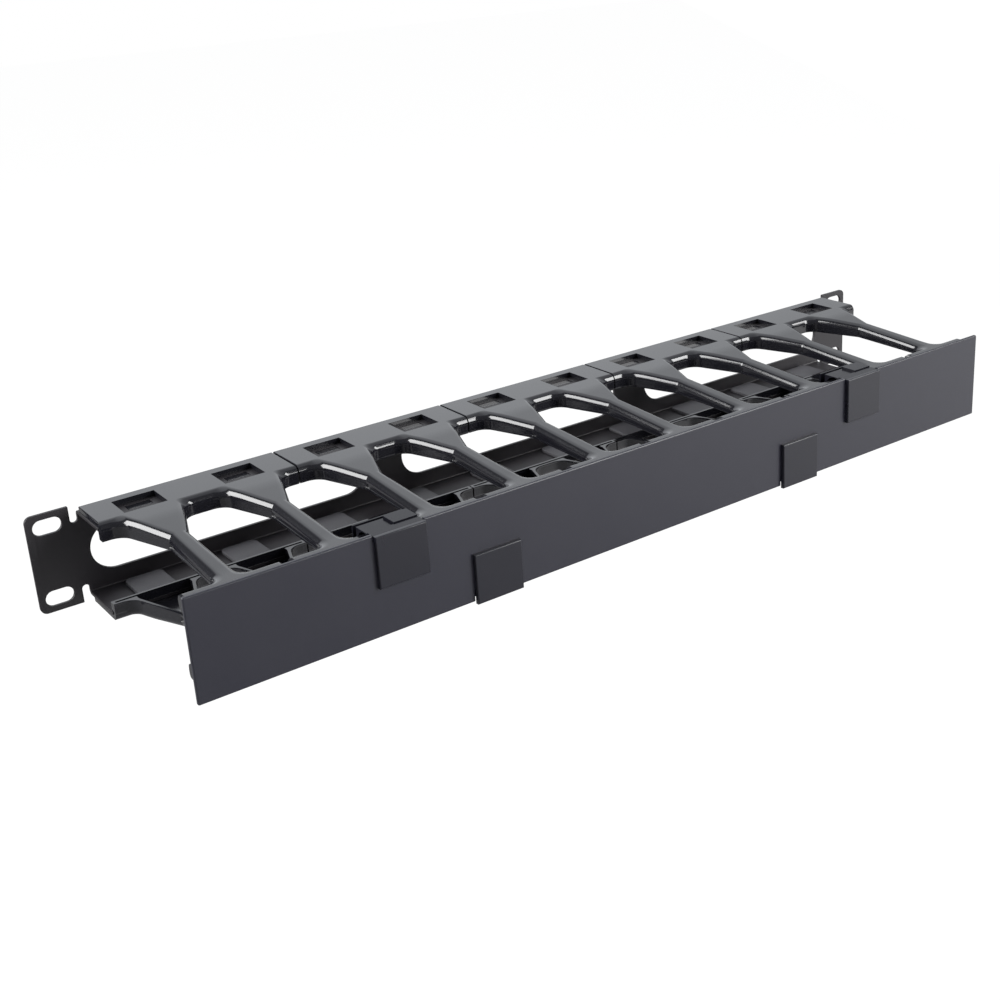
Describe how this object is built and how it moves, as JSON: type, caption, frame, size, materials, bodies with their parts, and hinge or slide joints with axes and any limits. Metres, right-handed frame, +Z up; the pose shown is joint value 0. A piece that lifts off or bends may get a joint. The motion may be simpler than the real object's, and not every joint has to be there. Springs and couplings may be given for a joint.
{
  "type": "horizontal cable manager",
  "caption": "Rack panel with a folded back channel, rows of T-ended cable fingers above and below, and a front cover hinged on clips.",
  "frame": {"origin": "middle of the four rack slots, on the front face of the rack ears", "axes": "+X along the rack width to the viewer's right, +Y into the rack, +Z up"},
  "size_m": [0.4826, 0.1143, 0.0454],
  "materials": {
    "steel": "matte black powder coat",
    "fingers": "glossy black moulding",
    "cover": "satin slate black moulding",
    "clips": "glossy black moulding"
  },
  "bodies": {
    "manager": {"back_frame": "steel", "finger_module_top_1": "fingers", "finger_module_top_2": "fingers", "finger_module_top_3": "fingers", "finger_module_top_4": "fingers", "finger_module_top_5": "fingers", "finger_module_low_1": "fingers", "finger_module_low_2": "fingers", "finger_module_low_3": "fingers", "finger_module_low_4": "fingers", "finger_module_low_5": "fingers", "hinge_clip_low_left": "clips", "hinge_clip_low_right": "clips"},
    "door": {"front_cover": "cover", "clip_plate_top_left": "cover", "clip_plate_top_right": "cover", "clip_plate_low_left": "cover", "clip_plate_low_right": "cover", "hinge_clip_top_left": "clips", "hinge_clip_top_right": "clips"}
  },
  "joints": [
    {"name": "cover_hinge", "type": "hinge", "parent": "manager", "child": "door", "pos_m": [0, -0.10335, 0.01425], "axis": [-1, 0, 0], "range_deg": [0, 95]}
  ]
}
